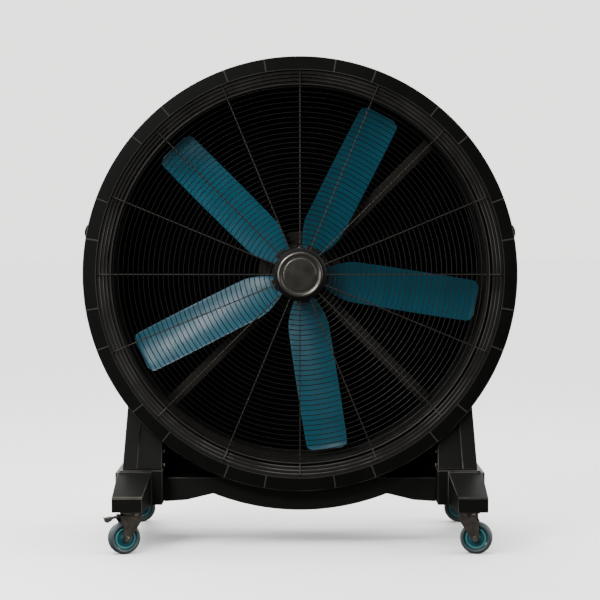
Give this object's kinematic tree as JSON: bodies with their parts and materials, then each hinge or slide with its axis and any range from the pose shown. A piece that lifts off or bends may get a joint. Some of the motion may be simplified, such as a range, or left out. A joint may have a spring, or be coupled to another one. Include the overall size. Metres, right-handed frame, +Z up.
{
  "type": "drum fan",
  "caption": "Wheeled floor drum fan: teal paddle rotor in a ribbed black drum behind wire guards, on a cradle stand with swivel castors, push bars and a control box.",
  "frame": {"origin": "on the floor, under the middle of the drum", "axes": "+X to the right seen from the front, the front guard faces -Y, +Z up"},
  "size_m": [1.7, 0.89, 1.915],
  "materials": {
    "drum_plastic": "satin, lightly grained",
    "stand_plastic": "satin, lightly grained",
    "coated_wire": "dark grey coating on round wire",
    "screen_mesh": "fine black woven mesh",
    "cap_metal": "satin turned",
    "blade_coat": "satin teal blue",
    "cast_alloy": "as cast, dull",
    "bright_steel": "ground",
    "bar_coat": "satin grey",
    "black_plastic": "matt moulded",
    "cable_sheath": "satin sheath",
    "bezel_plastic": "gloss dark teal",
    "screen_glass": "pale mint, glossy",
    "zinc_plate": "zinc plated pressing",
    "castor_tyre": "grey smooth tread",
    "castor_core": "teal moulded"
  },
  "bodies": {
    "chassis": {"drum_panel_right": "drum_plastic", "drum_panel_top": "drum_plastic", "drum_panel_left": "drum_plastic", "front_rim": "drum_plastic", "rear_rim": "drum_plastic", "control_box": "drum_plastic", "dust_screen": "screen_mesh", "saddle_beam": "stand_plastic", "tower_left": "stand_plastic", "tower_right": "stand_plastic", "foot_left": "stand_plastic", "foot_right": "stand_plastic", "front_guard": "coated_wire", "rear_guard": "coated_wire", "guard_cap": "cap_metal", "motor_body": "cast_alloy", "motor_plate": "cast_alloy", "motor_arm_1": "cast_alloy", "motor_arm_2": "cast_alloy", "motor_arm_3": "cast_alloy", "motor_arm_4": "cast_alloy", "push_bar_right": "bar_coat", "push_bar_left": "bar_coat", "bar_spindle_right": "black_plastic", "bar_spindle_left": "black_plastic", "box_gland": "black_plastic", "drum_gland": "black_plastic", "motor_cable": "cable_sheath", "display_bezel": "bezel_plastic", "display_screen": "screen_glass", "castor_plate_front_left": "zinc_plate", "castor_plate_rear_left": "zinc_plate", "castor_plate_front_right": "zinc_plate", "castor_plate_rear_right": "zinc_plate"},
    "rotor": {"motor_shaft": "bright_steel", "rotor_hub": "cast_alloy", "hub_plate": "cast_alloy", "blade_1": "blade_coat", "blade_2": "blade_coat", "blade_3": "blade_coat", "blade_4": "blade_coat", "blade_5": "blade_coat"},
    "castor_front_left": {"castor_fork_front_left": "zinc_plate", "castor_axle_front_left": "zinc_plate"},
    "wheel_front_left": {"castor_wheel_front_left": "castor_core", "castor_tyre_front_left": "castor_tyre"},
    "pedal_front_left": {"brake_pedal_front_left": "black_plastic"},
    "castor_rear_left": {"castor_fork_rear_left": "zinc_plate", "castor_axle_rear_left": "zinc_plate"},
    "wheel_rear_left": {"castor_wheel_rear_left": "castor_core", "castor_tyre_rear_left": "castor_tyre"},
    "pedal_rear_left": {"brake_pedal_rear_left": "black_plastic"},
    "castor_front_right": {"castor_fork_front_right": "zinc_plate", "castor_axle_front_right": "zinc_plate"},
    "wheel_front_right": {"castor_wheel_front_right": "castor_core", "castor_tyre_front_right": "castor_tyre"},
    "castor_rear_right": {"castor_fork_rear_right": "zinc_plate", "castor_axle_rear_right": "zinc_plate"},
    "wheel_rear_right": {"castor_wheel_rear_right": "castor_core", "castor_tyre_rear_right": "castor_tyre"}
  },
  "joints": [
    {"name": "fan_spin", "type": "hinge", "parent": "chassis", "child": "rotor", "pos_m": [0, -0.075, 1.065], "axis": [0, -1, 0], "continuous": true},
    {"name": "castor_swivel_front_left", "type": "hinge", "parent": "chassis", "child": "castor_front_left", "pos_m": [-0.645, -0.382, 0.15], "axis": [0, 0, 1], "continuous": true},
    {"name": "wheel_spin_front_left", "type": "hinge", "parent": "castor_front_left", "child": "wheel_front_left", "pos_m": [-0.674, -0.39552, 0.06155], "axis": [0.4226, -0.9063, 0], "continuous": true},
    {"name": "brake_press_front_left", "type": "hinge", "parent": "castor_front_left", "child": "pedal_front_left", "pos_m": [-0.68488, -0.4006, 0.141], "axis": [0.4226, -0.9063, 0], "range_deg": [0, 16]},
    {"name": "castor_swivel_rear_left", "type": "hinge", "parent": "chassis", "child": "castor_rear_left", "pos_m": [-0.645, 0.382, 0.15], "axis": [0, 0, 1], "continuous": true},
    {"name": "wheel_spin_rear_left", "type": "hinge", "parent": "castor_rear_left", "child": "wheel_rear_left", "pos_m": [-0.67669, 0.37755, 0.06155], "axis": [0.1392, -0.9903, 0], "continuous": true},
    {"name": "brake_press_rear_left", "type": "hinge", "parent": "castor_rear_left", "child": "pedal_rear_left", "pos_m": [-0.68857, 0.37588, 0.141], "axis": [0.1392, -0.9903, 0], "range_deg": [0, 16]},
    {"name": "castor_swivel_front_right", "type": "hinge", "parent": "chassis", "child": "castor_front_right", "pos_m": [0.645, -0.382, 0.15], "axis": [0, 0, 1], "continuous": true},
    {"name": "wheel_spin_front_right", "type": "hinge", "parent": "castor_front_right", "child": "wheel_front_right", "pos_m": [0.6763, -0.38865, 0.06155], "axis": [0.2079, 0.9781, 0], "continuous": true},
    {"name": "castor_swivel_rear_right", "type": "hinge", "parent": "chassis", "child": "castor_rear_right", "pos_m": [0.645, 0.382, 0.15], "axis": [0, 0, 1], "continuous": true},
    {"name": "wheel_spin_rear_right", "type": "hinge", "parent": "castor_rear_right", "child": "wheel_rear_right", "pos_m": [0.67543, 0.37211, 0.06155], "axis": [0.309, 0.9511, 0], "continuous": true}
  ]
}
